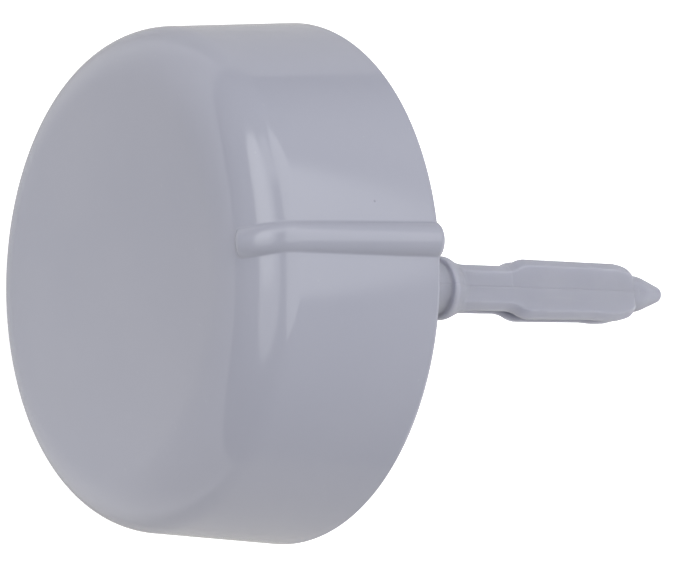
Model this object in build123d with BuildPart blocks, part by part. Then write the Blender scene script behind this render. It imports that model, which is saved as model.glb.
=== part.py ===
from build123d import *
import os
from math import radians, sin, cos, tan, atan2, degrees, sqrt

# Appliance control knob with a snap-in spindle, two mouldings.
# Frame: the spindle axis is Y. The round face looks along -Y, the nose of the
# spindle points along +Y, and the pointer ridge is at +Z (twelve o'clock).
# The origin is on the spindle axis in the plane of the cap's rear edge.

os.makedirs("parts", exist_ok=True)

# ---------------------------------------------------------------- dimensions
# cap, outside
skirt_r = 30.0          # radius of the rear edge
cap_depth = 23.0        # face to rear edge
face_rim_r = 27.3       # where the tapered rim would meet the plane of the face
front_round = 7.05      # radius of the big front edge
rear_round = 0.5        # radius of the outer rear edge

# cap, inside
wall = 1.9              # rim wall, measured square to the surface
face_wall = 2.2
inner_rear_round = 0.35
hub_r = 6.5
hub_end_y = -4.0        # end face of the hub
hub_lead = 0.5          # chamfer round the hub's end face
socket_r = 3.25         # double-D socket
socket_flats = 5.2      # across the flats
socket_depth = 12.0
fit_gap = 0.01          # nominal gap round the pressed root
rib_count = 6
rib_t = 1.0
rib_hub_y = -10.5       # top edge of a stiffening rib where it meets the hub
rib_wall_y = -15.5      # and where it meets the wall
ejector_r = 2.4
ejector_proud = 0.12
ejector_ring_r = 15.5

# pointer ridge: a round bar let into the outer surface
ridge_bar_r = 2.03      # section radius of the bar
ridge_front_proud = 0.70    # crest above the front round
ridge_slope = 8.1       # degrees, crest line against the spindle axis
ridge_end_angle = 42.0  # where the bar's centre line ends on the front round

# spindle, round parts
barrel_r = 3.25
flange_r = 4.9
flange_t = 1.2
root_len = 11.7
collar_y = 23.3         # locking face of the barb collar
collar_r = 3.97
collar_edge = 0.3       # round of its locking edge
collar_land_y = 24.35   # end of its cylindrical land
collar_mid = (3.16, 25.4)   # the tulip-shaped taper behind it passes here
collar_end = (2.52, 26.9)
nose_core_r = 2.2       # core that runs on between the leaves' chamfered ends
nose_r = 2.42
cone_y = 56.65          # nose cylinder ends, cone starts
cone_half_angle = 18.8
tip_r = 1.15

# spindle, two-leaf parts
leaf_out = 2.30         # outer face of each leaf from the axis
leaf_in = 1.00          # inner face: the slot is twice this
web_half = 0.6          # half thickness of the web between the leaves
leaf_chamfer = 0.93
stalk_h = 2.84          # half height of the stalk
paddle_h = 3.80         # half height of the paddle where the flare ends
paddle_end_h = 3.71     # and where its end round starts: the edges have a little draft
flare_y0 = 33.0
flare_y1 = 37.0
end_round_y = 51.4      # the long round of the paddle's end starts here
end_arc_r = 7.5         # it turns through end_arc_turn
end_arc_turn = 27.8     # degrees
end_corner_r = 1.1      # then a small corner into the square end
slot_y0 = 27.4
slot_y1 = 53.2
bump_y = 50.3           # snap bump on one edge of the paddle
bump_proud = 0.15
bump_half_len = 2.6

# ---------------------------------------------------------------- derived
taper = atan2(skirt_r - face_rim_r, cap_depth)          # half angle of the rim


def rim_r(y):
    # outer radius of the tapered rim at height y on the axis
    return skirt_r + y * tan(taper)


# front round: centre and tangent points in the (r, y) plane
fr_c_y = -cap_depth + front_round
fr_c_r = rim_r(fr_c_y) - front_round / cos(taper)
fr_t_r = fr_c_r + front_round * cos(taper)
fr_t_y = fr_c_y - front_round * sin(taper)
fr_m = (fr_c_r + front_round * sin(radians(40)), fr_c_y - front_round * cos(radians(40)))

# rear round: centre and tangent point on the rim
rr_c_y = -rear_round
rr_c_r = rim_r(rr_c_y) - rear_round / cos(taper)
rr_t_r = rr_c_r + rear_round * cos(taper)
rr_t_y = rr_c_y - rear_round * sin(taper)
rr_m = (rr_c_r + rear_round * sin(radians(45)), rr_c_y + rear_round * cos(radians(45)))

# cavity: the same cone, one wall further in, with its own floor round
cav_floor_y = -cap_depth + face_wall
cav_round = front_round - wall
cav_off = wall / cos(taper)


def cav_r(y):
    return rim_r(y) - cav_off


cv_c_y = cav_floor_y + cav_round
cv_c_r = cav_r(cv_c_y) - cav_round / cos(taper)
cv_t_r = cv_c_r + cav_round * cos(taper)
cv_t_y = cv_c_y - cav_round * sin(taper)
cv_m = (cv_c_r + cav_round * sin(radians(40)), cv_c_y - cav_round * cos(radians(40)))

# pointer ridge: centre line of the bar in the plane x = 0, as (y, z)
rg_path_r = front_round + ridge_front_proud - ridge_bar_r
rg_t0 = radians(ridge_end_angle)
rg_t1 = radians(90 - ridge_slope)


def rg_pt(t):
    return (fr_c_y - rg_path_r * cos(t), fr_c_r + rg_path_r * sin(t))


rg_a, rg_m, rg_b = rg_pt(rg_t0), rg_pt((rg_t0 + rg_t1) / 2), rg_pt(rg_t1)
rg_over = 1.5
rg_e = (rg_over, rg_b[1] + (rg_over - rg_b[0]) * tan(radians(ridge_slope)))
rg_crest_rear = rg_b[1] + (0 - rg_b[0]) * tan(radians(ridge_slope)) + ridge_bar_r / cos(radians(ridge_slope))

# ---------------------------------------------------------------- ridge bar
# The bar runs straight along the rim and bends round the front edge. It is
# limited at the rear by a turned envelope, so its rear edge is rounded too.
with BuildPart() as ridge:
    with BuildLine(Plane.YZ) as ridge_line:
        ThreePointArc(rg_a, rg_m, rg_b)
        Line(rg_b, rg_e)
    with BuildSketch(Plane(origin=ridge_line.line @ 0, z_dir=ridge_line.line % 0)):
        Circle(ridge_bar_r)
    sweep(path=ridge_line.line)
    with Locations((0, rg_a[0], rg_a[1])):
        Sphere(ridge_bar_r)
    with BuildSketch(Plane.XY):
        with BuildLine():
            Polyline((0, -cap_depth - 3), (40, -cap_depth - 3), (40, -4))
            Line((40, -4), (rg_crest_rear + 0.02 - 4 * tan(radians(ridge_slope)) + 0.6, -4))
            Line((rg_crest_rear + 0.02 - 4 * tan(radians(ridge_slope)) + 0.6, -4), (rg_crest_rear + 0.02, -rear_round))
            ThreePointArc(
                (rg_crest_rear + 0.02, -rear_round),
                (rg_crest_rear + 0.02 - rear_round * (1 - cos(radians(45))), -rear_round * (1 - sin(radians(45)))),
                (rg_crest_rear + 0.02 - rear_round, 0),
            )
            Polyline((rg_crest_rear + 0.02 - rear_round, 0), (0, 0), (0, -cap_depth - 3))
        make_face()
    revolve(axis=Axis.Y, mode=Mode.INTERSECT)

# ---------------------------------------------------------------- knob cap
with BuildPart() as knob_cap:
    # outer form, solid
    with BuildSketch(Plane.XY):
        with BuildLine():
            Line((0, -cap_depth), (fr_c_r, -cap_depth))
            ThreePointArc((fr_c_r, -cap_depth), fr_m, (fr_t_r, fr_t_y))
            Line((fr_t_r, fr_t_y), (rr_t_r, rr_t_y))
            ThreePointArc((rr_t_r, rr_t_y), rr_m, (rr_c_r, 0))
            Line((rr_c_r, 0), (0, 0))
            Line((0, 0), (0, -cap_depth))
        make_face()
    revolve(axis=Axis.Y)

    # pointer ridge, one moulding with the cap
    add(ridge.part)

    # hollow inside, open to the rear
    with BuildSketch(Plane.XY):
        with BuildLine():
            Line((0, cav_floor_y), (cv_c_r, cav_floor_y))
            ThreePointArc((cv_c_r, cav_floor_y), cv_m, (cv_t_r, cv_t_y))
            Line((cv_t_r, cv_t_y), (cav_r(-inner_rear_round), -inner_rear_round))
            Line((cav_r(-inner_rear_round), -inner_rear_round), (cav_r(0) + inner_rear_round, 0))
            Polyline((cav_r(0) + inner_rear_round, 0), (cav_r(0) + inner_rear_round, 5), (0, 5), (0, cav_floor_y))
        make_face()
    revolve(axis=Axis.Y, mode=Mode.SUBTRACT)

    # hub on the axis, with a chamfered end
    with BuildSketch(Plane.XY):
        with BuildLine():
            Polyline(
                (0, cav_floor_y - 0.5),
                (hub_r + 0.25, cav_floor_y - 0.5),
                (hub_r + 0.25, cav_floor_y),
                (hub_r, hub_end_y - hub_lead),
                (hub_r - hub_lead, hub_end_y),
                (0, hub_end_y),
                (0, cav_floor_y - 0.5),
            )
        make_face()
    revolve(axis=Axis.Y)

    # six low stiffening ribs, half a step round from the pointer ridge
    for i in range(rib_count):
        turn = 30 + i * 360 / rib_count
        plane = Plane(
            origin=(0, 0, 0),
            x_dir=(sin(radians(turn)), 0, cos(radians(turn))),
            z_dir=(cos(radians(turn)), 0, -sin(radians(turn))),
        )
        flip = 1 if plane.y_dir.Y > 0 else -1
        r_in, r_out = hub_r - 1.0, cav_r(rib_wall_y) + 0.6
        with BuildSketch(plane):
            with BuildLine():
                Polyline(
                    (r_in, flip * (cav_floor_y - 0.4)),
                    (cv_c_r + 1.2, flip * (cav_floor_y - 0.4)),
                    (cv_c_r + 3.9, flip * (cav_floor_y + 1.2)),
                    (cv_t_r + 0.6, flip * (cv_t_y - 0.2)),
                    (r_out, flip * rib_wall_y),
                    (r_in, flip * rib_hub_y),
                    (r_in, flip * (cav_floor_y - 0.4)),
                )
            make_face()
        extrude(amount=rib_t / 2, both=True)

    # low round pads left by the ejector pins
    with BuildSketch(Plane(origin=(0, cav_floor_y, 0), x_dir=(0, 0, 1), z_dir=(0, 1, 0))):
        with PolarLocations(ejector_ring_r, rib_count):
            Circle(ejector_r)
    extrude(amount=ejector_proud)

    # double-D socket for the spindle's root
    with BuildSketch(Plane(origin=(0, hub_end_y, 0), x_dir=(1, 0, 0), z_dir=(0, 1, 0))):
        Circle(socket_r + fit_gap)
        Rectangle(socket_flats + 2 * fit_gap, 4 * socket_r, mode=Mode.INTERSECT)
    extrude(amount=-socket_depth, mode=Mode.SUBTRACT)
knob_cap.part.label = "knob_cap"

# ---------------------------------------------------------------- spindle
cone_t = tan(radians(cone_half_angle))
apex_y = cone_y + nose_r / cone_t
tip_c_y = apex_y - tip_r / sin(radians(cone_half_angle))
tip_t = (tip_r * cos(radians(cone_half_angle)), tip_c_y + tip_r * sin(radians(cone_half_angle)))
tip_end_y = tip_c_y + tip_r

half_flare = (flare_y1 - flare_y0) / 2
flare_mid = ((stalk_h + paddle_h) / 2, (flare_y0 + flare_y1) / 2)
flare_r = (half_flare**2 + ((paddle_h - stalk_h) / 2) ** 2) / (paddle_h - stalk_h)

# end of the paddle: long round, small corner, square end, on the +X side
turn = radians(end_arc_turn)
ea_x, ea_y = paddle_end_h - end_arc_r * (1 - cos(turn)), end_round_y + end_arc_r * sin(turn)
ec_x, ec_y = ea_x - end_corner_r * cos(turn), ea_y - end_corner_r * sin(turn)
end_y = ec_y + end_corner_r
half_corner = (radians(90) + turn) / 2


def side_line(s):
    # one side of the flat outline, s = 1 or -1: stalk, flare, edge, end round
    a = half_flare / 2 / flare_r
    k1 = (s * (stalk_h + flare_r * (1 - cos(a))), flare_y0 + flare_r * sin(a))
    k2 = (s * (paddle_h - flare_r * (1 - cos(a))), flare_y1 - flare_r * sin(a))
    Line((s * stalk_h, collar_y + 1.2), (s * stalk_h, flare_y0))
    ThreePointArc((s * stalk_h, flare_y0), k1, (s * flare_mid[0], flare_mid[1]))
    ThreePointArc((s * flare_mid[0], flare_mid[1]), k2, (s * paddle_h, flare_y1))
    Line((s * paddle_h, flare_y1), (s * paddle_end_h, end_round_y))
    ThreePointArc(
        (s * paddle_end_h, end_round_y),
        (
            s * (paddle_end_h - end_arc_r * (1 - cos(turn / 2))),
            end_round_y + end_arc_r * sin(turn / 2),
        ),
        (s * ea_x, ea_y),
    )
    ThreePointArc(
        (s * ea_x, ea_y),
        (s * (ec_x + end_corner_r * cos(half_corner)), ec_y + end_corner_r * sin(half_corner)),
        (s * ec_x, end_y),
    )


with BuildPart() as spindle:
    # flat two-leaf body: outline in the plane of the leaves, full depth first
    with BuildSketch(Plane.XY):
        with BuildLine():
            side_line(1)
            side_line(-1)
            Line((-stalk_h, collar_y + 1.2), (stalk_h, collar_y + 1.2))
            Line((-ec_x, end_y), (ec_x, end_y))
        make_face()
    extrude(amount=leaf_out, both=True)
    long_edges = (
        spindle.edges()
        .filter_by(lambda g: abs(abs(g.center().Z) - leaf_out) < 1e-4)
        .filter_by(lambda g: g.center().Y > collar_y + 1.5)
    )
    chamfer(long_edges, leaf_chamfer)

    # snap bump on the +X edge of the paddle, near its end
    edge_x = paddle_h + (paddle_end_h - paddle_h) * (bump_y - flare_y1) / (end_round_y - flare_y1)
    with BuildSketch(Plane.XY):
        with BuildLine():
            ThreePointArc(
                (edge_x, bump_y - bump_half_len),
                (edge_x + bump_proud, bump_y),
                (edge_x - 0.06, bump_y + bump_half_len),
            )
            Polyline(
                (edge_x - 0.06, bump_y + bump_half_len),
                (edge_x - 1.2, bump_y + bump_half_len - 0.4),
                (edge_x - 1.2, bump_y - bump_half_len),
                (edge_x, bump_y - bump_half_len),
            )
        make_face()
    extrude(amount=leaf_out - leaf_chamfer, both=True)

    # slots between the leaves, one each side of the web, with round ends
    for s in (1, -1):
        with BuildSketch(Plane.YZ.offset(s * web_half)):
            with Locations(((slot_y0 + slot_y1) / 2, 0)):
                SlotOverall(slot_y1 - slot_y0, 2 * leaf_in)
        extrude(amount=s * 6, mode=Mode.SUBTRACT)

    # round parts: stop flange, barrel, barb collar with its long taper
    with BuildSketch(Plane.XY):
        with BuildLine():
            Polyline(
                (0, hub_end_y),
                (flange_r - 0.25, hub_end_y),
                (flange_r, hub_end_y + 0.25),
                (flange_r, hub_end_y + flange_t - 0.25),
                (flange_r - 0.25, hub_end_y + flange_t),
                (barrel_r + 0.4, hub_end_y + flange_t),
                (barrel_r, hub_end_y + flange_t + 0.4),
                (barrel_r, collar_y),
                (collar_r - collar_edge, collar_y),
            )
            ThreePointArc(
                (collar_r - collar_edge, collar_y),
                (
                    collar_r - collar_edge * (1 - sin(radians(45))),
                    collar_y + collar_edge * (1 - cos(radians(45))),
                ),
                (collar_r, collar_y + collar_edge),
            )
            Line((collar_r, collar_y + collar_edge), (collar_r, collar_land_y))
            ThreePointArc((collar_r, collar_land_y), collar_mid, collar_end)
            Polyline(collar_end, (0, collar_end[1]), (0, hub_end_y))
        make_face()
    revolve(axis=Axis.Y)

    # double-D root, pressed into the hub
    with BuildSketch(Plane(origin=(0, hub_end_y, 0), x_dir=(1, 0, 0), z_dir=(0, 1, 0))):
        Circle(socket_r)
        Rectangle(socket_flats, 4 * socket_r, mode=Mode.INTERSECT)
    extrude(amount=-root_len)

    # nose: short cylinder and cone with a rounded tip
    with BuildSketch(Plane.XY):
        with BuildLine():
            Polyline(
                (0, slot_y1 + 0.6), (nose_core_r, slot_y1 + 0.6), (nose_core_r, end_y),
                (nose_r, end_y), (nose_r, cone_y), tip_t,
            )
            ThreePointArc(
                tip_t,
                (tip_r * sin(radians(35)), tip_c_y + tip_r * cos(radians(35))),
                (0, tip_end_y),
            )
            Line((0, tip_end_y), (0, slot_y1 + 0.6))
        make_face()
    revolve(axis=Axis.Y)
spindle.part.label = "spindle"

# ---------------------------------------------------------------- files
export_step(knob_cap.part, "parts/knob_cap.step")
export_step(spindle.part, "parts/spindle.step")

for p in (knob_cap.part, spindle.part):
    b = p.bounding_box()
    print(p.label, len(p.solids()), "solid", round(p.volume, 1), "mm3", b.min, b.max)
print("leaf end", round(end_y, 3), "wall", wall, "crest radius at the rear", round(rg_crest_rear, 3), "tip at", round(tip_end_y, 3))
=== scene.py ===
"""Looks of an appliance control knob: a gloss cap with a pointer ridge and a satin snap-in spindle.

Row frame, metres: the spindle axis is Y, the round face looks along -Y, the nose points along +Y,
and the pointer ridge is at +Z. Meshes are worked out in millimetres and scaled at the end.
"""

import math

import bpy
import numpy as np
from mathutils import Matrix, Vector


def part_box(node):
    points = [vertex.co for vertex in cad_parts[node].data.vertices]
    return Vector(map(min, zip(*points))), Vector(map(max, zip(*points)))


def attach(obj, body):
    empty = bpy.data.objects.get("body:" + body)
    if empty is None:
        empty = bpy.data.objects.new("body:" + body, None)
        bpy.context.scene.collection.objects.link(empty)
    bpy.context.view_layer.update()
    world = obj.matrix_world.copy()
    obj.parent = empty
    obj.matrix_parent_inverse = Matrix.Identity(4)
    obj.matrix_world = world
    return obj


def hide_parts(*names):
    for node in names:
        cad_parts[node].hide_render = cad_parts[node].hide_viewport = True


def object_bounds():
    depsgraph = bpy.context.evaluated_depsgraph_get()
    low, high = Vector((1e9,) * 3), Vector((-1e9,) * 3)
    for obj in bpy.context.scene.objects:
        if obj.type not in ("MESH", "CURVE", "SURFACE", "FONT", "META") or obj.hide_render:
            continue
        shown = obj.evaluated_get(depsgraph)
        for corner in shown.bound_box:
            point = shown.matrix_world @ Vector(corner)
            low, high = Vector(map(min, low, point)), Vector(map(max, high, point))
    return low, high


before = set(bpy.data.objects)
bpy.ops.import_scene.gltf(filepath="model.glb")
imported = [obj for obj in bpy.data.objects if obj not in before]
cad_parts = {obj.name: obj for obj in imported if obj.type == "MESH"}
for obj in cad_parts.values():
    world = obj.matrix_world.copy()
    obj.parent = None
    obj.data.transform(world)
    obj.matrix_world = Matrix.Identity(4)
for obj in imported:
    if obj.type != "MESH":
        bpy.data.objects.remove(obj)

cad_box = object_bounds()
MM = 0.001
sin, cos, tan, pi = math.sin, math.cos, math.tan, math.pi
RAD = pi / 180

# ------------------------------------------------------------------ sizes, mm (the CAD's own)
cap_lo, cap_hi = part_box("knob_cap")
SKIRT_R, DEPTH, FACE_RIM_R, ROUND = 30.0, 23.0, 27.3, 7.05
REAR_Y = cap_hi.y / MM  # plane of the rear edge, 0
FACE_Y = cap_lo.y / MM  # plane of the round face, -23
TAU = math.atan2(SKIRT_R - FACE_RIM_R, DEPTH)
WALL, FACE_WALL = 1.9, 2.2


def rim_r(y):
    return SKIRT_R + y * tan(TAU)


FCY = -DEPTH + ROUND  # centre of the front round in (r, y)
FCR = rim_r(FCY) - ROUND / cos(TAU)
RT_Y = -0.51 * (1 + sin(TAU))  # where the rear round starts on the rim

# ================================================================== mesh helpers


class Surf:
    """Rings of points joined by quads."""

    def __init__(self):
        self.v, self.q, self.tag, self.n = [], [], [], 0

    def ring(self, p):
        idx = np.arange(self.n, self.n + len(p))
        self.v.append(np.asarray(p, float))
        self.n += len(p)
        return idx

    def quads(self, q, tag):
        q = np.asarray(q)
        self.q.append(q)
        self.tag.append(np.full(len(q), tag))

    def join(self, a, b, tag=0):
        a2, b2 = np.roll(a, -1), np.roll(b, -1)
        self.quads(np.stack([a, a2, b2, b], 1), tag)

    def join31(self, a, b, three, tag=0):
        """Fine ring a to coarse ring b: cells marked in three have three edges on a and one on b."""
        va, vb = np.concatenate(self.v)[a], np.concatenate(self.v)[b]
        counts = np.where(three, 3, 1)
        start = np.concatenate([[0], np.cumsum(counts)[:-1]])
        nb, na = len(b), len(a)
        i = np.where(~three)[0]
        if len(i):
            self.quads(
                np.stack([a[start[i]], a[(start[i] + 1) % na], b[(i + 1) % nb], b[i]], 1), tag
            )
        i = np.where(three)[0]
        b0, b1 = vb[i], vb[(i + 1) % nb]
        c1 = 0.5 * (va[(start[i] + 1) % na] + b0 + (b1 - b0) / 3)
        c2 = 0.5 * (va[(start[i] + 2) % na] + b0 + (b1 - b0) * 2 / 3)
        k1, k2 = self.ring(c1), self.ring(c2)
        a0, a1, a2, a3 = (a[(start[i] + k) % na] for k in range(4))
        e0, e1 = b[i], b[(i + 1) % nb]
        for q in ((a0, a1, k1, e0), (a1, a2, k2, k1), (a2, a3, e1, k2), (k1, k2, e1, e0)):
            self.quads(np.stack(q, 1), tag)

    def disc(self, a, y, r, tag=0):
        """Closes ring a (648 points) over a flat disc at height y, with quads only."""
        pts = np.concatenate(self.v)
        while len(a) > 24:
            r *= 0.62
            p = pts[a][::3].copy()
            s = np.hypot(p[:, 0], p[:, 2])
            p = np.stack([p[:, 0] / s * r, np.full(len(p), y), p[:, 2] / s * r], 1)
            b = self.ring(p)
            self.join31(a, b, np.ones(len(b), bool), tag)
            a = b
            pts = np.concatenate(self.v)
        m = 6
        ids = np.full((m + 1, m + 1), -1)
        ids[0, :] = a[0 : m + 1]
        ids[:, m] = a[m : 2 * m + 1]
        ids[m, ::-1] = a[2 * m : 3 * m + 1]
        ids[::-1, 0] = np.append(a[3 * m : 4 * m], a[0])
        g = np.zeros((m + 1, m + 1, 3))
        g[0], g[m], g[:, 0], g[:, m] = pts[ids[0]], pts[ids[m]], pts[ids[:, 0]], pts[ids[:, m]]
        inner = []
        for i in range(1, m):
            for j in range(1, m):
                u, v = i / m, j / m
                p = (
                    (1 - u) * g[0, j] + u * g[m, j] + (1 - v) * g[i, 0] + v * g[i, m]
                    - (1 - u) * (1 - v) * g[0, 0] - u * v * g[m, m]
                    - u * (1 - v) * g[m, 0] - (1 - u) * v * g[0, m]
                )
                ids[i, j] = self.n + len(inner)
                inner.append(p)
        self.ring(inner)
        self.quads(
            [(ids[i, j], ids[i, j + 1], ids[i + 1, j + 1], ids[i + 1, j]) for i in range(m) for j in range(m)],
            tag,
        )

    def arrays(self):
        v, q, t = np.concatenate(self.v), np.concatenate(self.q), np.concatenate(self.tag)
        a, b, c, d = (v[q[:, k]] for k in range(4))
        vol = (np.einsum("ij,ij->i", a, np.cross(b, c)) + np.einsum("ij,ij->i", a, np.cross(c, d))).sum()
        if vol < 0:
            q = q[:, ::-1]
        return v, q, t


def make_object(name, verts, quads, mats, tags=None, normals=None):
    me = bpy.data.meshes.new(name)
    me.vertices.add(len(verts))
    me.vertices.foreach_set("co", (np.asarray(verts) * MM).astype(np.float32).ravel())
    me.loops.add(quads.size)
    me.loops.foreach_set("vertex_index", quads.astype(np.int32).ravel())
    me.polygons.add(len(quads))
    me.polygons.foreach_set("loop_start", np.arange(0, quads.size, 4, dtype=np.int32))
    for m in mats:
        me.materials.append(m)
    me.update(calc_edges=True)
    me.validate()
    me.polygons.foreach_set("use_smooth", np.ones(len(me.polygons), bool))
    if tags is not None:
        me.polygons.foreach_set("material_index", tags.astype(np.int32))
    if normals is not None and len(normals) == len(me.vertices):
        me.normals_split_custom_set_from_vertices(normals.tolist())
    me.update()
    ob = bpy.data.objects.new(name, me)
    bpy.context.scene.collection.objects.link(ob)
    return ob


def smooth01(t):
    t = np.clip(t, 0, 1)
    return t * t * (3 - 2 * t)


def rmax(a, b, k):
    return np.minimum(-k, np.maximum(a, b)) + np.sqrt(np.maximum(a + k, 0) ** 2 + np.maximum(b + k, 0) ** 2)


def rmin(a, b, k):
    return -rmax(-a, -b, k)


# ================================================================== cap
# Columns: 6 equal sectors of 108 cells, each from half way between two ribs to the next half way.
# In each half sector 12 columns keep a fixed distance from the rib's middle plane, so a rib has
# flat sides and its own rounds; 42 more spread over the rest.
HALF, SIDE_COLS, NCOL = 54, 12, 648
col = np.arange(NCOL)
sector, m_in = col // 108, col % 108
k_col = np.where(m_in <= HALF, HALF - m_in, m_in - HALF)
side = np.where(m_in <= HALF, -1.0, 1.0)
rib_theta = (30 + 60 * sector) * RAD
spread = np.array([0, 0.12, 0.24, 0.33, 0.41, 0.48, 0.55, 0.62, 0.69, 0.76, 0.83, 0.89, 0.95])
final = np.array([0, 0.15, 0.32, 0.41, 0.476, 0.5, 0.5, 0.5, 0.5, 0.527, 0.6025, 0.716, 0.85])
free_w = np.clip((k_col - SIDE_COLS) / (HALF - SIDE_COLS), 0, 1)
k_clip = np.minimum(k_col, SIDE_COLS)


def thetas(r, off):
    """Angle of every column at polar radius r (a number or one per column)."""
    r = np.broadcast_to(r, (NCOL,))
    phi = np.arcsin(np.clip(off[k_clip] / r, 0, 1))
    return rib_theta + side * (phi + (30 * RAD - phi) * free_w)


def polar(theta, r, y):
    return np.stack(np.broadcast_arrays(r * np.sin(theta), y, r * np.cos(theta)), 1)


cap = Surf()
theta_base = thetas(28.4, spread)
theta_base[0] = 0.0

# fine columns under the pointer ridge: 11 cells each side of it, each cut in 9
BAND = 11
in_band = (col < BAND) | (col >= NCOL - BAND)


def refine(theta, cells, n):
    out, nxt = [], np.append(theta[1:], theta[0] + 2 * pi)
    for t, u, c in zip(theta, nxt, cells):
        out.extend(t + (u - t) * k / n for k in range(n)) if c else out.append(t)
    return np.array(out)


theta_mid = refine(theta_base, in_band, 3)
mid_band = np.concatenate([np.ones(3, bool) if c else np.zeros(1, bool) for c in in_band])
theta_fine = refine(theta_mid, mid_band, 3)
mid_of_fine = np.concatenate([[0], np.cumsum(np.where(mid_band, 3, 1))[:-1]])
base_of_mid = np.concatenate([[0], np.cumsum(np.where(in_band, 3, 1))[:-1]])

# pointer ridge: a round bar, bent round the front edge, with a blunt sloping end
BAR_R, PROUD, SLOPE, T_FOOT, END_SLOPE = 2.03, 0.70, 8.1 * RAD, 28.6 * RAD, 27 * RAD
PATH_R, T1 = ROUND + PROUD - BAR_R, pi / 2 - SLOPE
RIDGE_FILLET = 0.12


def bar_distance(p):
    """Signed distance from points to the bar's surface."""
    x, y, z = p[:, 0], p[:, 1], p[:, 2]
    dy, dz = FCY - y, z - FCR
    t = np.arctan2(dz, dy)
    by, bz = FCY - PATH_R * cos(T1), FCR + PATH_R * sin(T1)
    ly, lz = cos(SLOPE), sin(SLOPE)
    line = np.abs(-(y - by) * lz + (z - bz) * ly)
    slim = smooth01((75 * RAD - t) / (40 * RAD))  # narrower and prouder towards the front end
    x = x - 0.33 * slim  # and set a hair towards +X there
    arc = np.abs(np.hypot(dy, dz) - PATH_R - 0.40 * slim)
    plane, bar = np.where(t > T1, line, arc), np.where(t > T1, BAR_R, BAR_R - 0.22 * slim)
    ey, ez = dy - ROUND * cos(T_FOOT), dz - ROUND * sin(T_FOOT)
    wy = sin(T_FOOT) * cos(END_SLOPE) + cos(T_FOOT) * sin(END_SLOPE)
    wz = -cos(T_FOOT) * cos(END_SLOPE) + sin(T_FOOT) * sin(END_SLOPE)
    return rmax(np.hypot(plane, x) - bar, ey * wy + ez * wz + 0.11 * x * x, 0.3)


def soft_union(a, b, k):
    u, v = np.maximum(k - a, 0), np.maximum(k - b, 0)
    return np.maximum(k, np.minimum(a, b)) - np.sqrt(u * u + v * v)


def ridge_height(theta, r, y, nr, ny):
    """How far the surface stands out along its normal at each column of a ring."""
    wrapped = (theta + pi) % (2 * pi) - pi
    near = np.abs(wrapped) < 7.6 * RAD
    h = np.zeros(len(theta))
    th = theta[near]
    base, out = polar(th, r, y), polar(th, nr, ny)
    lo, hi = np.full(len(th), -0.001), np.full(len(th), 1.8)
    for _ in range(34):
        mid = (lo + hi) / 2
        g = soft_union(mid, bar_distance(base + out * mid[:, None]), RIDGE_FILLET)
        lo, hi = np.where(g < 0, mid, lo), np.where(g < 0, hi, mid)
    h[near] = np.maximum(hi, 0)
    h[h < 2e-5] = 0
    return h


# ---- outer surface, from the flat face over the front round to the rear edge
flat_rings = [cap.ring(polar(theta_base, r, FACE_Y)) for r in (18.2, 19.2, 19.9)]
mid_ring = cap.ring(polar(theta_mid, 20.35, FACE_Y))
fine_rings = [cap.ring(polar(theta_fine, r, FACE_Y)) for r in (20.75, FCR - 0.06)]
cap.disc(flat_rings[0], FACE_Y, 18.2, 0)
cap.join(flat_rings[1], flat_rings[0])
cap.join(flat_rings[2], flat_rings[1])
cap.join31(mid_ring, flat_rings[2], in_band)
cap.join31(fine_rings[0], mid_ring, mid_band)
cap.join(fine_rings[1], fine_rings[0])
last = fine_rings[1]
t_end = 90 - TAU / RAD
ts = np.concatenate([np.arange(0, 25, 1.25), np.arange(25, 52, 0.6), np.arange(52, t_end - 0.5, 1.1), [t_end]])
for t in ts * RAD:
    nr, ny = sin(t), -cos(t)
    r, y = FCR + ROUND * nr, FCY + ROUND * ny
    h = ridge_height(theta_fine, r, y, nr, ny)
    ring = cap.ring(polar(theta_fine, r + h * nr, y + h * ny))
    cap.join(ring, last)
    last = ring
rim_top = FCY + ROUND * -cos(t_end * RAD)
for y in np.concatenate([[rim_top + 0.05], np.linspace(rim_top + 0.4, RT_Y - 0.25, 44), [RT_Y - 0.04, RT_Y]]):
    nr, ny = cos(TAU), -sin(TAU)
    h = ridge_height(theta_fine, rim_r(y), y, nr, ny)
    rs, ys = rim_r(y) + h * nr, y + h * ny
    ring = cap.ring(polar(theta_fine, rs, ys))
    cap.join(ring, last)
    last = ring
rho = -ys / (1 + sin(TAU))  # the rear round follows the ridge, a little larger there
rc = rs - rho * cos(TAU)
for phi in np.linspace(-TAU, pi / 2, 12)[1:]:
    ring = cap.ring(polar(theta_fine, rc + rho * cos(phi), REAR_Y - rho + rho * sin(phi)))
    cap.join(ring, last)
    last = ring

# ---- rear edge, flat: the fine columns end here
IN_R = 30 - WALL / cos(TAU)  # cavity radius in the plane of the rear edge


def cav_r(y):
    return IN_R + y * tan(TAU)


LIP = 0.35
lip_r = cav_r(-LIP) + LIP / cos(TAU)
for f in (0.06, 0.16):
    ring = cap.ring(polar(theta_fine, rc + (lip_r - rc) * f, REAR_Y))
    cap.join(ring, last)
    last = ring
rc_mid, rc_base = rc[mid_of_fine], rc[mid_of_fine][base_of_mid]
ring = cap.ring(polar(theta_mid, rc_mid + (lip_r - rc_mid) * 0.42, REAR_Y))
cap.join31(last, ring, mid_band)
last = ring
ring = cap.ring(polar(theta_base, rc_base + (lip_r - rc_base) * 0.74, REAR_Y))
cap.join31(last, ring, in_band)
last = ring
for f in (0.93, 1.0):
    ring = cap.ring(polar(theta_base, rc_base + (lip_r - rc_base) * f, REAR_Y))
    cap.join(ring, last)
    last = ring

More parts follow.
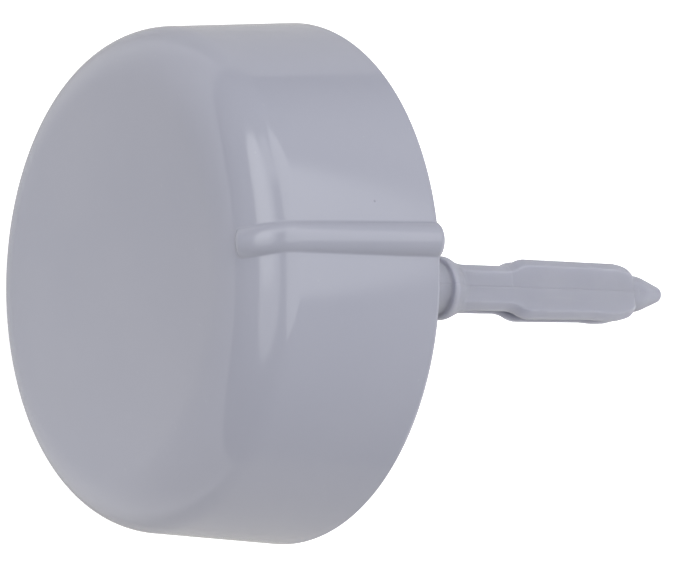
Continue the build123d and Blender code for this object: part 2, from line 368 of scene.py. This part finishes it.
# ---- inner surface: (r, y, normal r, normal y) of the plain profile, from lip to hub
INNER = 1
FLOOR_Y = -DEPTH + FACE_WALL
CR = ROUND - WALL
CCY = FLOOR_Y + CR
CCR = cav_r(CCY) - CR / cos(TAU)
HUB_R, HUB_Y, HUB_DRAFT = 6.5, -4.0, 0.25
plain = []
for a in np.linspace(pi / 2, TAU, 7)[1:]:
    plain.append((lip_r - LIP * cos(a), -LIP + LIP * sin(a), -cos(a), sin(a)))
y_first = plain[-1][1]
for y in np.concatenate([np.linspace(y_first - 0.05, -15.5, 30), np.linspace(-15.5, CCY - CR * sin(TAU), 4)[1:]]):
    plain.append((cav_r(y), y, -cos(TAU), sin(TAU)))
i_w = 6 + 29  # row where the ribs meet the wall
for t in np.linspace(pi / 2 - TAU, 0, 21)[1:]:
    plain.append((CCR + CR * sin(t), CCY - CR * cos(t), -sin(t), cos(t)))
HF = 0.55  # fillet at the foot of the hub
hub_foot = HUB_R + HUB_DRAFT
floor_r = np.concatenate([
    [CCR - 0.08], np.linspace(CCR - 0.6, 18.4, 5), np.linspace(18.25, 12.75, 40), np.linspace(12.3, hub_foot + HF + 0.25, 11),
    [hub_foot + HF + 0.05, hub_foot + HF],
])
for r in floor_r:
    plain.append((r, FLOOR_Y, 0.0, 1.0))
for a in np.linspace(0, pi / 2, 8)[1:]:
    plain.append((hub_foot + HF - HF * sin(a), FLOOR_Y + HF - HF * cos(a), sin(a), cos(a)))
hub_y = np.concatenate([np.linspace(FLOOR_Y + HF + 0.5, -10.5, 16)])
hub_len = HUB_Y - 0.5 - (FLOOR_Y + HF)


def hub_side(y):
    return HUB_R + HUB_DRAFT * (HUB_Y - 0.5 - y) / hub_len


for y in hub_y:
    plain.append((hub_side(y), y, 1.0, 0.0))
i_h = len(plain) - 1  # row where the ribs meet the hub
for y in np.linspace(-10.5, HUB_Y - 0.55, 10)[1:]:
    plain.append((hub_side(y), y, 1.0, 0.0))
for a in np.linspace(0, pi / 2, 7):
    plain.append((HUB_R - 0.5 + 0.5 * cos(a), HUB_Y - 0.5 + 0.5 * sin(a), cos(a), sin(a)))
plain = np.array(plain)

# top edge of a rib: from the wall down to the hub, with a small round at each end
w0, h0 = plain[i_w, :2], plain[i_h, :2]
line_a, line_b = np.array([w0[0] - 0.1, w0[1] - 0.75]), np.array([h0[0] + 0.02, h0[1] - 0.75])
d_line = (line_b - line_a) / np.linalg.norm(line_b - line_a)


def bezier(p, q, r, n):
    t = np.linspace(0, 1, n)[:, None]
    return (1 - t) ** 2 * p + 2 * t * (1 - t) * q + t**2 * r


top = np.concatenate([
    bezier(w0, line_a, line_a + d_line * 1.1, 24)[:-1],
    np.linspace(line_a + d_line * 1.1, line_b - d_line * 1.1, 60)[:-1],
    bezier(line_b - d_line * 1.1, line_b, h0, 24),
])
top_s = np.concatenate([[0], np.cumsum(np.linalg.norm(np.diff(top, axis=0), axis=1))])
seg = np.linalg.norm(np.diff(plain[i_w : i_h + 1, :2], axis=0), axis=1)
horizontal = np.abs(plain[i_w + 1 : i_h + 1, 3])
seg = seg * (0.3 + 0.7 * horizontal)
q_rows = np.concatenate([[0], np.cumsum(seg)]) / seg.sum()


def top_point(q):
    s = q * top_s[-1]
    p = np.array([np.interp(s, top_s, top[:, 0]), np.interp(s, top_s, top[:, 1])])
    e = 0.05
    d = np.array([np.interp(s + e, top_s, top[:, 0]) - np.interp(s - e, top_s, top[:, 0]),
                  np.interp(s + e, top_s, top[:, 1]) - np.interp(s - e, top_s, top[:, 1])])
    d /= np.linalg.norm(d)
    return p, np.array([-d[1], d[0]])


PAD_R, PAD_H, PAD_RING = 2.4, 0.12, 15.5


def pad_height(theta, r):
    th = (theta + 30 * RAD) % (60 * RAD) - 30 * RAD
    d = np.sqrt(r * r + PAD_RING**2 - 2 * r * PAD_RING * np.cos(th))
    return PAD_H * smooth01((PAD_R + 0.12 - d) / 0.24)


for i, (rb, yb, nr, ny) in enumerate(plain):
    if i_w < i < i_h:
        (rt, yt), nt = top_point(q_rows[i - i_w])
        if nt[1] < 0:
            nt = -nt
        gap = math.hypot(rt - rb, yt - yb)
        s = float(smooth01(gap / 0.8))
        off = spread + (final - spread) * s
        rf, drop = min(0.35, 0.45 * gap), min(0.18, 0.45 * gap)
        b8 = np.array([rb + nr * rf, yb + ny * rf])
        t5 = np.array([rt, yt]) - nt * drop
        rows = []
        for k in range(SIDE_COLS + 1):
            if k <= 5:
                f = (0, 0, 0, 0.134, 0.5, 1.0)[k]
                p = np.array([rt, yt]) - nt * drop * f
                p = np.array([math.hypot(p[0], off[k] * s), p[1]])
            elif k <= 7:
                f = (k - 5) / 3
                p5 = np.array([math.hypot(t5[0], off[5] * s), t5[1]])
                p = p5 + (b8 - p5) * f
            else:
                f = (1.0, 0.617, 0.293, 0.076, 0.0)[k - 8]
                p = np.array([rb + nr * rf * f, yb + ny * rf * f])
            rows.append(p)
        rows = np.array(rows)
        r_all, y_all = rows[k_clip, 0], rows[k_clip, 1]
    else:
        off = spread
        r_all, y_all = np.full(NCOL, rb), np.full(NCOL, yb)
    th = thetas(r_all, off)
    if abs(yb - FLOOR_Y) < 1e-6:
        y_all = y_all + np.where(k_col > SIDE_COLS, pad_height(th, rb), 0)
    ring = cap.ring(polar(th, r_all, y_all))
    cap.join(ring, last, INNER)
    last = ring

# hub end face and the double-D socket
SOCK_R, SOCK_F = 3.26, 2.61
th = thetas(6.0, spread)
hole = np.minimum(SOCK_R, SOCK_F / np.maximum(np.abs(np.sin(th)), 1e-6))
for f, y in ((0.04, HUB_Y), (0.35, HUB_Y), (0.7, HUB_Y), (0.94, HUB_Y), (0.985, HUB_Y - 0.02), (1.0, HUB_Y - 0.09),
             (1.0, HUB_Y - 0.3), (1.0, HUB_Y - 4), (1.0, HUB_Y - 8), (1.0, HUB_Y - 11.8), (1.0, HUB_Y - 11.98)):
    ring = cap.ring(polar(th, 6.0 + (hole - 6.0) * f, y))
    cap.join(ring, last, INNER)
    last = ring
ring = cap.ring(polar(th, hole * 0.985, HUB_Y - 12))
cap.join(ring, last, INNER)
cap.disc(ring, HUB_Y - 12, 2.6, INNER)
cap_v, cap_q, cap_t = cap.arrays()

# ================================================================== spindle
# One closed form given by a signed distance, so every edge has its moulded round, meshed by
# surface nets and then drawn exactly onto the form.
FLARE_R = ((2.0) ** 2 + 0.48**2) / 0.96
CONE = 18.8 * RAD
TIP_R = 1.15
APEX = 56.65 + 2.42 / tan(CONE)
TIP_C = APEX - TIP_R / sin(CONE)
TIP_T = TIP_C + TIP_R * sin(CONE)


def half_width(y):
    a = 2.84 + FLARE_R - np.sqrt(np.maximum(FLARE_R**2 - np.clip(y - 33, 0, 2) ** 2, 0))
    b = 3.80 - FLARE_R + np.sqrt(np.maximum(FLARE_R**2 - np.clip(37 - y, 0, 2) ** 2, 0))
    c = 3.80 - 0.09 * (y - 37) / 14.4
    e = 3.71 - 7.5 + np.sqrt(np.maximum(7.5**2 - np.clip(y - 51.4, 0, 7.0) ** 2, 0))
    return np.where(y < 33, 2.84, np.where(y < 35, a, np.where(y < 37, b, np.where(y < 51.4, c, e))))


def half_slope(y):
    e = 0.02
    return (half_width(y + e) - half_width(y - e)) / (2 * e)


def spindle_form(x, y, z):
    r = np.hypot(x, z)
    ax, az = np.abs(x), np.abs(z)
    # flat two-leaf body
    bump = 0.15 * np.clip(1 - ((y - 50.3) / 2.6) ** 2, 0, 1) * (x > 0)
    late = 0.3 * smooth01((y - 50.0) / 2.0)  # the long round starts a little later
    sl = half_slope(y - late)
    side_d = (ax - half_width(y - late) - bump) / np.sqrt(1 + sl * sl)
    out = rmax(side_d, y - 54.75, 0.45)
    out = np.maximum(out, 24.4 - y)
    # the two mould halves differ by a hair, and an insert leaves a small step on one of them
    step = -0.05 * smooth01((y - 33.7) / 0.4) * smooth01((0.02 - x) / 0.1) * (z > 0)
    face = az - (2.295 + step)
    cham = (side_d + face + 0.93) / math.sqrt(2)
    leaf = rmax(rmax(out, face, 0.08), cham, 0.12)
    leaf = rmax(leaf, (y - 54.75 + face + 0.12) / math.sqrt(2), 0.06)
    # tulip taper behind the collar, steeper on the faces than at the sides, runs out on the stalk
    ta = np.clip(y - 24.0, 0, 3.6)
    tb = np.clip(y - 23.75, 0, 3.4)
    ea = 3.97 - 0.40 * np.where(ta < 0.4, ta * ta / 0.8, ta - 0.2)
    eb = 3.97 - 0.64 * np.where(tb < 0.4, tb * tb / 0.8, tb - 0.2)
    oval = (np.hypot(x / ea, z / eb) - 1) * 0.5 * (ea + eb) * 0.88
    taper = np.maximum(oval, y - 27.1)
    collar = rmax(rmax(r - 3.97, 23.45 - y, 0.42), oval, 0.2)
    body = rmin(leaf, np.maximum(taper, 24.6 - y), 0.3)
    # slots each side of the web
    slot = np.hypot(np.maximum(np.abs(y - 40.3) - 11.9, 0), z) - 1.0
    slot = rmax(slot, 0.6 - ax, 0.22)
    body = rmax(body, -slot, 0.13)
    collar = np.maximum(collar, y - 26.0)
    body = np.minimum(body, collar)
    # barrel, stop flange and double-D root
    barrel = np.maximum(np.maximum(r - 3.25, -3.5 - y), y - 24.0)
    body = rmin(body, barrel, 0.3)
    flange = rmax(r - 4.895, np.abs(y + 3.4) - 0.6, 0.22)
    body = rmin(body, flange, 0.4)
    root = rmax(rmax(r - 3.22, ax - 2.57, 0.12), np.abs(y + 9.6) - 6.08, 0.3)
    body = np.minimum(body, root)
    # nose
    core = np.maximum(r - 2.2, np.abs(y - 54.7) - 0.85)
    cyl = rmax(np.maximum(r - 2.42, 54.72 - y), (r - (APEX - y) * tan(CONE)) * cos(CONE), 0.25)
    cyl = rmax(np.maximum(cyl, y - TIP_T), az - 2.2, 0.2)  # small flats, a step below the leaves' faces
    tip = np.hypot(r, y - TIP_C) - TIP_R
    body = rmin(np.minimum(body, core), np.minimum(cyl, tip), 0.1)
    # a thin witness line all along the parting plane
    line = 0.045 * np.exp(-((x / 0.085) ** 2)) * smooth01((y + 2.2) / 0.6) * (az > 0.9) * (1 - 0.4 * smooth01((y - 33.7) / 0.6))
    return body + line


def surface_net(f, lo, hi, h):
    axes = [np.arange(a, b + h, h) for a, b in zip(lo, hi)]
    val = np.empty([len(a) for a in axes], np.float32)
    for j in range(0, len(axes[1]), 48):
        gx, gy, gz = np.meshgrid(axes[0], axes[1][j : j + 48], axes[2], indexing="ij")
        val[:, j : j + 48, :] = f(gx, gy, gz)
    ins = val < 0
    c = [ins[i : i + ins.shape[0] - 1, j : j + ins.shape[1] - 1, k : k + ins.shape[2] - 1]
         for i in (0, 1) for j in (0, 1) for k in (0, 1)]
    total = sum(a.astype(np.int8) for a in c)
    cell = np.argwhere((total > 0) & (total < 8))
    number = np.full(total.shape, -1, np.int64)
    number[tuple(cell.T)] = np.arange(len(cell))
    corners = np.array([(i, j, k) for i in (0, 1) for j in (0, 1) for k in (0, 1)])
    vals = np.stack([val[tuple((cell + o).T)] for o in corners], 1).astype(float)
    acc, cnt = np.zeros((len(cell), 3)), np.zeros(len(cell))
    for a in range(8):
        for b in range(a + 1, 8):
            if np.abs(corners[a] - corners[b]).sum() != 1:
                continue
            cross = (vals[:, a] < 0) != (vals[:, b] < 0)
            t = vals[cross, a] / (vals[cross, a] - vals[cross, b])
            acc[cross] += corners[a] + (corners[b] - corners[a]) * t[:, None]
            cnt[cross] += 1
    p = np.array(lo) + (cell + acc / cnt[:, None]) * h
    quads = []
    for ax in range(3):
        u, w = [(1, 2), (2, 0), (0, 1)][ax]
        sl0, sl1 = [slice(None)] * 3, [slice(None)] * 3
        sl0[ax], sl1[ax] = slice(0, -1), slice(1, None)
        e = np.argwhere(ins[tuple(sl0)] != ins[tuple(sl1)])
        e = e[(e[:, u] > 0) & (e[:, w] > 0) & (e[:, u] < ins.shape[u] - 1) & (e[:, w] < ins.shape[w] - 1)]
        du, dw = np.eye(3, dtype=int)[u], np.eye(3, dtype=int)[w]
        q = np.stack([number[tuple((e - s).T)] for s in (du * 0, du, du + dw, dw)], 1)
        flip = ~ins[tuple(e.T)]
        q[flip] = q[flip][:, ::-1]
        quads.append(q)
    return p, np.concatenate(quads)


def gradient(f, p, e=2e-3):
    g = [(f(*(p + np.eye(3)[a] * e).T) - f(*(p - np.eye(3)[a] * e).T)) / (2 * e) for a in range(3)]
    return np.stack(g, 1)


STEP = 0.1
pts, spin_q = surface_net(spindle_form, (-5.2 + STEP / 2 - 0.1, -15.95, -5.2 + STEP / 2 - 0.1), (5.2, 61.7, 5.2), STEP)
for _ in range(4):
    g = gradient(spindle_form, pts)
    d = spindle_form(*pts.T) / np.maximum((g * g).sum(1), 0.2)
    pts = pts - np.clip(d, -STEP / 2, STEP / 2)[:, None] * g
g = gradient(spindle_form, pts, 0.012)
spin_n = g / np.maximum(np.linalg.norm(g, axis=1), 1e-9)[:, None]
a, b, c, d = (pts[spin_q[:, k]] for k in range(4))
if (np.einsum("ij,ij->i", a, np.cross(b, c)) + np.einsum("ij,ij->i", a, np.cross(c, d))).sum() < 0:
    spin_q = spin_q[:, ::-1]

# ================================================================== materials


class Graph:
    """Short ways to write a node tree."""

    def __init__(self, tree):
        self.t = tree
        tree.nodes.clear()

    def new(self, kind, **props):
        n = self.t.nodes.new(kind)
        for k, v in props.items():
            setattr(n, k, v)
        return n

    def link(self, a, b):
        self.t.links.new(a, b)

    def ramp(self, value, stops, smooth=False):
        n = self.new("ShaderNodeMapRange", interpolation_type="SMOOTHSTEP" if smooth else "LINEAR")
        for name, v in zip(("From Min", "From Max", "To Min", "To Max"), stops):
            n.inputs[name].default_value = v
        n.clamp = True
        self.link(value, n.inputs["Value"])
        return n.outputs["Result"]

    def math(self, op, a, b=None):
        n = self.new("ShaderNodeMath", operation=op)
        for s, v in zip(n.inputs, (a, b)):
            if v is None:
                continue
            if isinstance(v, (int, float)):
                s.default_value = v
            else:
                self.link(v, s)
        return n.outputs[0]

    def total(self, terms):
        out = terms[0]
        for t in terms[1:]:
            out = self.math("ADD", out, t)
        return out


class Nodes(Graph):
    def __init__(self, name):
        self.mat = bpy.data.materials.new(name)
        self.mat.use_nodes = True
        super().__init__(self.mat.node_tree)
        self.out = self.new("ShaderNodeOutputMaterial")
        self.bsdf = self.new("ShaderNodeBsdfPrincipled")
        self.link(self.bsdf.outputs["BSDF"], self.out.inputs["Surface"])
        self.co = self.new("ShaderNodeTexCoord").outputs["Object"]

    def mapped(self, scale):
        n = self.new("ShaderNodeMapping")
        n.inputs["Scale"].default_value = scale
        self.link(self.co, n.inputs["Vector"])
        return n.outputs["Vector"]

    def noise(self, scale, detail=2.0, rough=0.5, vec=None, distort=0.0):
        n = self.new("ShaderNodeTexNoise")
        n.inputs["Scale"].default_value = scale
        n.inputs["Detail"].default_value = detail
        n.inputs["Roughness"].default_value = rough
        n.inputs["Distortion"].default_value = distort
        self.link(vec or self.co, n.inputs["Vector"])
        return n.outputs["Fac"]

    def mix(self, fac, a, b):
        n = self.new("ShaderNodeMix", data_type="RGBA")
        if isinstance(fac, (int, float)):
            n.inputs["Factor"].default_value = fac
        else:
            self.link(fac, n.inputs["Factor"])
        for s, v in ((n.inputs[6], a), (n.inputs[7], b)):
            if isinstance(v, tuple):
                s.default_value = (*v, 1.0)
            else:
                self.link(v, s)
        return n.outputs[2]

    def bump(self, height, strength, distance, before=None):
        n = self.new("ShaderNodeBump")
        n.inputs["Strength"].default_value = strength
        n.inputs["Distance"].default_value = distance
        self.link(height, n.inputs["Height"])
        if before is not None:
            self.link(before, n.inputs["Normal"])
        return n.outputs["Normal"]

    def specks(self, scale, size, rarity):
        """Sparse small spots, 1 in a spot and 0 elsewhere."""
        v = self.new("ShaderNodeTexVoronoi")
        v.inputs["Scale"].default_value = scale
        self.link(self.co, v.inputs["Vector"])
        dot = self.ramp(v.outputs["Distance"], (size * 0.5, size, 1.0, 0.0))
        sep = self.new("ShaderNodeSeparateColor")
        self.link(v.outputs["Color"], sep.inputs[0])
        some = self.math("GREATER_THAN", sep.outputs[0], 1 - rarity)
        return self.math("MULTIPLY", dot, some)


CAP_A, CAP_B = (0.352, 0.358, 0.420), (0.366, 0.370, 0.430)
SPIN_A, SPIN_B = (0.336, 0.340, 0.396), (0.354, 0.356, 0.408)


def gloss_cap():
    m = Nodes("gloss_cap_plastic")
    cloud = m.noise(38, 3.0, 0.55)
    flow = m.noise(16, 4.0, 0.6, m.mapped((1.0, 0.35, 1.0)), 1.2)
    colour = m.mix(m.ramp(cloud, (0.35, 0.65, 0, 1)), CAP_A, CAP_B)
    colour = m.mix(m.ramp(flow, (0.55, 0.75, 0, 0.22)), colour, (0.374, 0.374, 0.412))
    grime = m.math("MULTIPLY", m.specks(260, 0.05, 0.05), 0.4)
    colour = m.mix(grime, colour, (0.10, 0.10, 0.11))
    dust = m.math("MULTIPLY", m.specks(900, 0.12, 0.10), 0.10)
    colour = m.mix(dust, colour, (0.60, 0.60, 0.60))
    m.link(colour, m.bsdf.inputs["Base Color"])
    hair1 = m.noise(1.0, 2.0, 0.5, m.mapped((90, 2600, 1700)), 0.3)
    hair2 = m.noise(1.0, 2.0, 0.5, m.mapped((2300, 1500, 70)), 0.3)
    scuff = m.math("MAXIMUM", m.ramp(hair1, (0.70, 0.78, 0, 1)), m.ramp(hair2, (0.71, 0.79, 0, 1)))
    haze = m.noise(55, 4.0, 0.6)
    rough = m.math("ADD", m.ramp(haze, (0.3, 0.7, 0.055, 0.10)), m.math("MULTIPLY", scuff, 0.05))
    rough = m.math("ADD", rough, m.math("MULTIPLY", dust, 1.2))
    m.link(rough, m.bsdf.inputs["Roughness"])
    m.bsdf.inputs["IOR"].default_value = 1.45
    peel = m.noise(420, 2.0, 0.5)
    n1 = m.bump(peel, 0.10, 0.00003)
    n2 = m.bump(m.noise(5200, 1.0, 0.5), 0.06, 0.000006, n1)
    n3 = m.bump(scuff, 0.02, 0.000003, n2)
    m.link(n3, m.bsdf.inputs["Normal"])
    return m.mat


def inside_cap():
    m = Nodes("cap_inside_plastic")
    cloud = m.noise(60, 3.0, 0.55)
    colour = m.mix(m.ramp(cloud, (0.35, 0.65, 0, 1)), (0.340, 0.348, 0.394), (0.362, 0.368, 0.412))
    dust = m.math("MULTIPLY", m.specks(700, 0.14, 0.16), 0.22)
    colour = m.mix(dust, colour, (0.56, 0.56, 0.55))
    m.link(colour, m.bsdf.inputs["Base Color"])
    wave = m.new("ShaderNodeTexWave", wave_type="RINGS", rings_direction="Y", wave_profile="SIN")
    wave.inputs["Scale"].default_value = 620
    wave.inputs["Distortion"].default_value = 0.6
    wave.inputs["Detail"].default_value = 2.0
    m.link(m.co, wave.inputs["Vector"])
    grain = m.noise(2600, 2.0, 0.6)
    rough = m.ramp(m.noise(140, 3.0, 0.6), (0.3, 0.7, 0.30, 0.44))
    m.link(rough, m.bsdf.inputs["Roughness"])
    m.bsdf.inputs["IOR"].default_value = 1.45
    n1 = m.bump(wave.outputs["Fac"], 0.16, 0.000012)
    n2 = m.bump(grain, 0.22, 0.00001, n1)
    m.link(n2, m.bsdf.inputs["Normal"])
    return m.mat


def satin_spindle():
    m = Nodes("satin_spindle_plastic")
    cloud = m.noise(120, 3.0, 0.55)
    colour = m.mix(m.ramp(cloud, (0.32, 0.68, 0, 1)), SPIN_A, SPIN_B)
    rub = m.noise(1.0, 3.0, 0.55, m.mapped((1500, 60, 1500)), 0.2)
    colour = m.mix(m.ramp(rub, (0.62, 0.80, 0, 0.35)), colour, (0.385, 0.388, 0.420))
    grime = m.math("MULTIPLY", m.specks(480, 0.07, 0.05), 0.55)
    colour = m.mix(grime, colour, (0.13, 0.13, 0.14))
    m.link(colour, m.bsdf.inputs["Base Color"])
    rough = m.ramp(m.noise(260, 4.0, 0.6), (0.3, 0.7, 0.40, 0.54))
    rough = m.math("SUBTRACT", rough, m.ramp(rub, (0.60, 0.80, 0.0, 0.12)))
    m.link(rough, m.bsdf.inputs["Roughness"])
    m.bsdf.inputs["IOR"].default_value = 1.45
    m.bsdf.inputs["Subsurface Weight"].default_value = 1.0
    m.bsdf.inputs["Subsurface Radius"].default_value = (1.0, 1.0, 1.05)
    m.bsdf.inputs["Subsurface Scale"].default_value = 0.0029
    n1 = m.bump(m.noise(4200, 2.0, 0.55), 0.30, 0.000012)
    n2 = m.bump(m.noise(900, 2.0, 0.5), 0.12, 0.00002, n1)
    m.link(n2, m.bsdf.inputs["Normal"])
    return m.mat


gloss, inside, satin = gloss_cap(), inside_cap(), satin_spindle()
knob = make_object("knob_cap_shell", cap_v, cap_q, [gloss, inside], cap_t)
stem = make_object("spindle_moulding", pts, spin_q, [satin], None, spin_n)
for piece, node, slot in ((knob, "knob_cap", "cap_gloss"), (stem, "spindle", "spindle_satin")):
    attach(piece, "root")
    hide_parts(node)

# ================================================================== floor, light, camera
FLOOR_Z = cad_box[0].z - 0.0002


def stage_floor():
    mesh = bpy.data.meshes.new("studio_floor")
    s = 12.0
    mesh.from_pydata([(-s, -s, FLOOR_Z), (s, -s, FLOOR_Z), (s, s, FLOOR_Z), (-s, s, FLOOR_Z)], [], [(0, 1, 2, 3)])
    ob = bpy.data.objects.new("studio_floor", mesh)
    bpy.context.scene.collection.objects.link(ob)
    mat = bpy.data.materials.new("pale_floor")
    mat.use_nodes = True
    g = Graph(mat.node_tree)
    out = g.new("ShaderNodeOutputMaterial")
    soft = g.new("ShaderNodeBsdfDiffuse")
    soft.inputs["Color"].default_value = (0.545, 0.535, 0.52, 1)
    # painted light: emission patches on the floor, seen only in bounce and reflection, glow in front of the face and
    # beside the spindle; the +X side glows a little more
    spot = g.new("ShaderNodeNewGeometry").outputs["Position"]
    way = g.new("ShaderNodeVectorMath", operation="NORMALIZE")
    g.link(spot, way.inputs[0])
    axes, place = g.new("ShaderNodeSeparateXYZ"), g.new("ShaderNodeSeparateXYZ")
    g.link(way.outputs[0], axes.inputs[0])
    g.link(spot, place.inputs[0])
    # painted light: a glowing patch of floor in front of the face, brightest near the knob
    front_floor_glow = g.math("MULTIPLY", g.ramp(place.outputs[1], (-0.03, -0.015, 1.0, 0.0)), g.ramp(place.outputs[1], (-0.055, -0.023, 0.55, 1.0)))
    front_floor_glow = g.math("MULTIPLY", front_floor_glow, g.ramp(place.outputs[0], (-0.04, 0.03, 0.72, 1.0)))
    # painted light: a warm glow over the +X half of the floor and beside the spindle
    right_side = g.math("MAXIMUM", axes.outputs[0], 0.0)
    beside = g.math("MULTIPLY", g.ramp(place.outputs[0], (0.02, 0.05, 0.0, 1.0)), g.ramp(place.outputs[1], (0.0, 0.04, 0.0, 1.0)))
    beside = g.math("MULTIPLY", beside, g.ramp(place.outputs[0], (0.2, 0.4, 1.0, 0.0)))
    lit = soft
    for part, amount, tint in (
        (front_floor_glow, FLOOR_FRONT, (0.97, 0.98, 1.0)), (right_side, FLOOR_RIGHT, (1.0, 0.93, 0.80)), (beside, FLOOR_SIDE, (1.0, 0.94, 0.82))
    ):
        glow = g.new("ShaderNodeEmission")
        glow.inputs["Color"].default_value = (*tint, 1)
        g.link(g.math("MULTIPLY", part, amount), glow.inputs["Strength"])
        both = g.new("ShaderNodeAddShader")
        g.link(lit.outputs[0], both.inputs[0])
        g.link(glow.outputs[0], both.inputs[1])
        lit = both
    seen = g.new("ShaderNodeBsdfDiffuse")
    seen.inputs["Color"].default_value = (0.80, 0.80, 0.80, 1)
    lift = g.new("ShaderNodeEmission")
    lift.inputs["Strength"].default_value = 0.72
    white = g.new("ShaderNodeAddShader")
    g.link(seen.outputs[0], white.inputs[0])
    g.link(lift.outputs[0], white.inputs[1])
    mix = g.new("ShaderNodeMixShader")
    g.link(g.new("ShaderNodeLightPath").outputs["Is Camera Ray"], mix.inputs[0])
    g.link(lit.outputs[0], mix.inputs[1])
    g.link(white.outputs[0], mix.inputs[2])
    g.link(mix.outputs[0], out.inputs["Surface"])
    mesh.materials.append(mat)


def studio_room():
    """A pale room with two large overhead softboxes; the sky shader holds all of it."""
    world = bpy.data.worlds.new("studio_room")
    bpy.context.scene.world = world
    world.use_nodes = True
    g = Graph(world.node_tree)
    out = g.new("ShaderNodeOutputWorld")
    axes = g.new("ShaderNodeSeparateXYZ")
    g.link(g.new("ShaderNodeTexCoord").outputs["Generated"], axes.inputs[0])
    x, y, z = axes.outputs
    high = g.math("MAXIMUM", z, 0.05)
    above = g.math("GREATER_THAN", z, 0.05)
    sx, sy = g.math("DIVIDE", x, high), g.math("DIVIDE", y, high)

    def softbox(cx, cy, hx, hy, rad, turn, soft, radiance):
        """A lamp's mask, in slopes from the object: centre, half sizes, end radius, turn, edge width."""
        dx, dy = g.math("SUBTRACT", sx, cx), g.math("SUBTRACT", sy, cy)
        u = g.math("ADD", g.math("MULTIPLY", dx, cos(turn)), g.math("MULTIPLY", dy, sin(turn)))
        v = g.math("ADD", g.math("MULTIPLY", dx, -sin(turn)), g.math("MULTIPLY", dy, cos(turn)))
        qx = g.math("SUBTRACT", g.math("ABSOLUTE", u), hx - rad)
        qy = g.math("SUBTRACT", g.math("ABSOLUTE", v), hy - rad)
        px, py = g.math("MAXIMUM", qx, 0.0), g.math("MAXIMUM", qy, 0.0)
        far = g.math("SQRT", g.math("ADD", g.math("MULTIPLY", px, px), g.math("MULTIPLY", py, py)))
        near = g.math("MINIMUM", g.math("MAXIMUM", qx, qy), 0.0)
        d = g.math("SUBTRACT", g.math("ADD", far, near), rad)
        mask = g.ramp(g.math("MULTIPLY", d, -1.0), (-soft / 2, soft / 2, 0.0, radiance), True)
        return g.math("MULTIPLY", mask, above)

    def side(axis, sign, amount, where):
        part = g.math("MULTIPLY", g.math("MAXIMUM", g.math("MULTIPLY", axis, sign), 0.0), amount)
        return g.math("MULTIPLY", part, where)

    low = g.ramp(z, (0.0, 0.6, 1.0, 0.0), True)
    top = g.math("SUBTRACT", 1.0, low)
    strength = g.total([
        softbox(*LAMP_REAR), softbox(*LAMP_FRONT), g.ramp(z, (-1.0, 1.0, ROOM, ROOM)),
        side(x, 1.0, LOW_RIGHT, g.math("MULTIPLY", low, g.ramp(y, (-0.6, 0.3, 0.60, 1.0)))), side(x, -1.0, TOP_LEFT, top), side(x, 1.0, TOP_RIGHT, top),
        side(y, 1.0, TOP_REAR, top), side(y, -1.0, TOP_FRONT, top), softbox(*LAMP_CORE), softbox(*LAMP_JOIN),
        g.math("MULTIPLY", g.math("MULTIPLY", g.ramp(y, (0.68, 0.86, 0.0, REAR_WALL), True), g.ramp(z, (0.06, 0.24, 0.0, 1.0), True)), g.ramp(x, (-0.45, 0.05, 0.4, 1.0))),
        g.math("MULTIPLY", g.math("MULTIPLY", g.ramp(y, (0.52, 0.64, 0.0, RIGHT_WALL)), g.ramp(x, (0.25, 0.5, 0.0, 1.0))), g.ramp(z, (0.0, 0.3, 1.0, 0.0))),
    ])
    lights = g.new("ShaderNodeBackground")
    lights.inputs["Color"].default_value = (0.975, 0.985, 1.0, 1)
    g.link(strength, lights.inputs["Strength"])
    white = g.new("ShaderNodeBackground")
    white.inputs["Color"].default_value = (1, 1, 1, 1)
    white.inputs["Strength"].default_value = 1.0
    mix = g.new("ShaderNodeMixShader")
    g.link(g.new("ShaderNodeLightPath").outputs["Is Camera Ray"], mix.inputs[0])
    g.link(lights.outputs[0], mix.inputs[1])
    g.link(white.outputs[0], mix.inputs[2])
    g.link(mix.outputs[0], out.inputs["Surface"])


FLOOR_FRONT, FLOOR_RIGHT, FLOOR_SIDE, REAR_WALL, RIGHT_WALL = 0.72, 0.15, 0.06, 1.3, 4.5
LAMP_REAR = (-0.458, 0.26, 1.321, 0.268, 0.833, -0.099, 0.06, 1.70)
LAMP_FRONT = (-0.28, -0.72, 1.33, 0.45, 0.70, 0.03, 0.14, 1.50)
LAMP_JOIN = (-1.0, -0.15, 0.36, 0.16, 0.12, 0.0, 0.14, 1.3)
LAMP_CORE = (-0.74, -0.74, 0.95, 0.32, 0.28, 0.0, 0.22, 1.38)
ROOM, LOW_RIGHT, TOP_LEFT, TOP_RIGHT, TOP_REAR, TOP_FRONT = 0.122, 0.425, 0.52, 0.218, 0.364, 0.152
stage_floor()
studio_room()

cam_data = bpy.data.cameras.new("camera")
cam_data.sensor_fit, cam_data.sensor_width, cam_data.lens = "HORIZONTAL", 36.0, 112.457
cam_data.clip_start, cam_data.clip_end = 0.005, 60.0
camera = bpy.data.objects.new("camera", cam_data)
bpy.context.scene.collection.objects.link(camera)
right = Vector((0.07175479, 0.80072452, 0.59471967))
up = Vector((-0.98776519, -0.02572451, 0.15381217))
back = Vector((0.13846004, -0.59848015, 0.78908195))
camera.matrix_world = Matrix(
    (
        (right.x, up.x, back.x, 0.03538696),
        (right.y, up.y, back.y, -0.14431855),
        (right.z, up.z, back.z, 0.20403327),
        (0, 0, 0, 1),
    )
)
bpy.context.scene.camera = camera
bpy.context.scene.view_settings.view_transform = "Standard"
bpy.context.scene.view_settings.look = "None"
bpy.context.scene.view_settings.exposure = 0.0
bpy.context.scene.view_settings.gamma = 1.0

bpy.context.view_layer.update()
